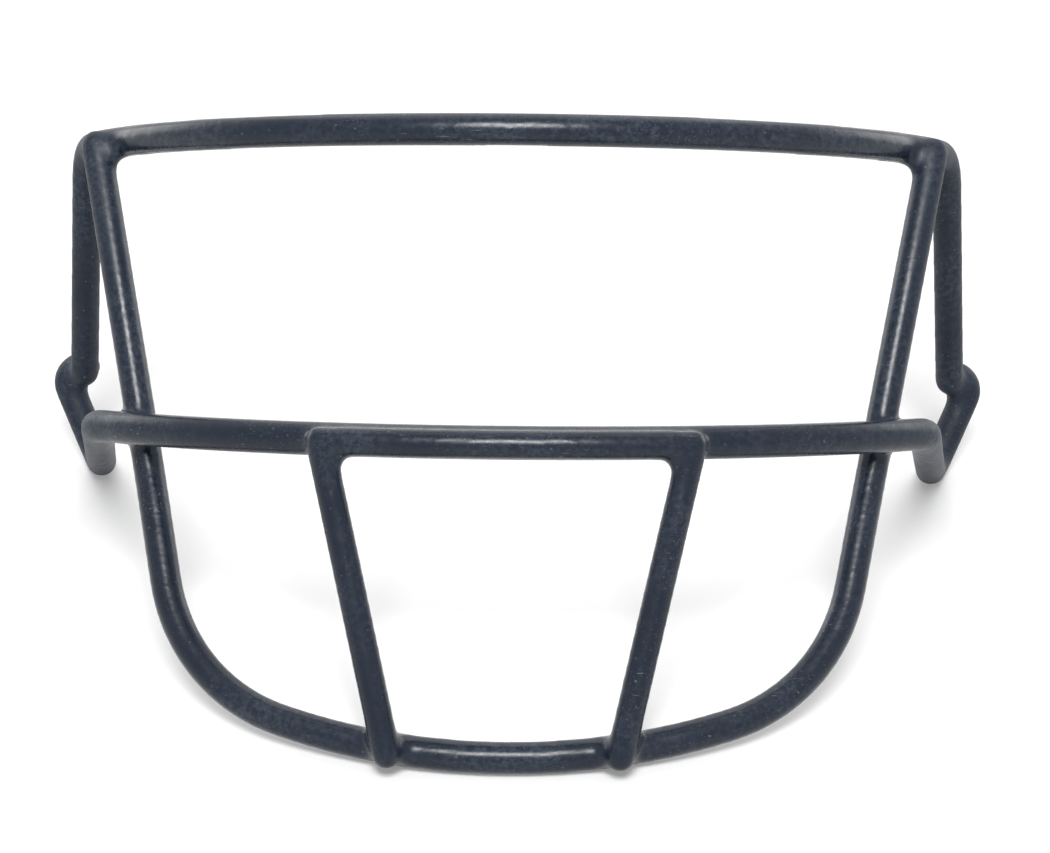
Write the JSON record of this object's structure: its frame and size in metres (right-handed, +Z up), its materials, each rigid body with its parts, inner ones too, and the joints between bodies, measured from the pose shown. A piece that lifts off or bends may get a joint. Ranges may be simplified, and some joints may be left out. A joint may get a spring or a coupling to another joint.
{
  "type": "football helmet facemask",
  "caption": "Bent and welded wire face guard in dark vinyl, with brow, middle and chin bars, side clip loops and an open centre guard.",
  "frame": {"origin": "centre of the base on the table, where the mask stands on its chin bar and its two side loops", "axes": "+Z up, front of the mask towards -Y, +X to the right as seen from the front"},
  "size_m": [0.235, 0.1546, 0.1243],
  "materials": {
    "vinyl_coat": "satin dip-coated vinyl",
    "steel_wire": "drawn",
    "weld_metal": "as welded"
  },
  "bodies": {
    "root": {"upper_wire": "steel_wire", "middle_wire": "steel_wire", "jaw_wire": "steel_wire", "guard_bar_wire": "steel_wire", "guard_leg_wire_left": "steel_wire", "guard_leg_wire_right": "steel_wire", "brow_weld_left": "weld_metal", "brow_weld_right": "weld_metal", "cheek_weld_left": "weld_metal", "cheek_weld_right": "weld_metal", "loop_weld_left": "weld_metal", "loop_weld_right": "weld_metal", "guard_weld_left": "weld_metal", "guard_weld_right": "weld_metal", "foot_weld_left": "weld_metal", "foot_weld_right": "weld_metal", "brow_bar_coat": "vinyl_coat", "middle_bar_coat": "vinyl_coat", "chin_bar_coat": "vinyl_coat", "guard_bar_coat": "vinyl_coat", "temple_coat_left": "vinyl_coat", "temple_coat_right": "vinyl_coat", "loop_coat_left": "vinyl_coat", "loop_coat_right": "vinyl_coat", "jaw_rod_coat_left": "vinyl_coat", "jaw_rod_coat_right": "vinyl_coat", "guard_leg_coat_left": "vinyl_coat", "guard_leg_coat_right": "vinyl_coat"}
  },
  "joints": []
}
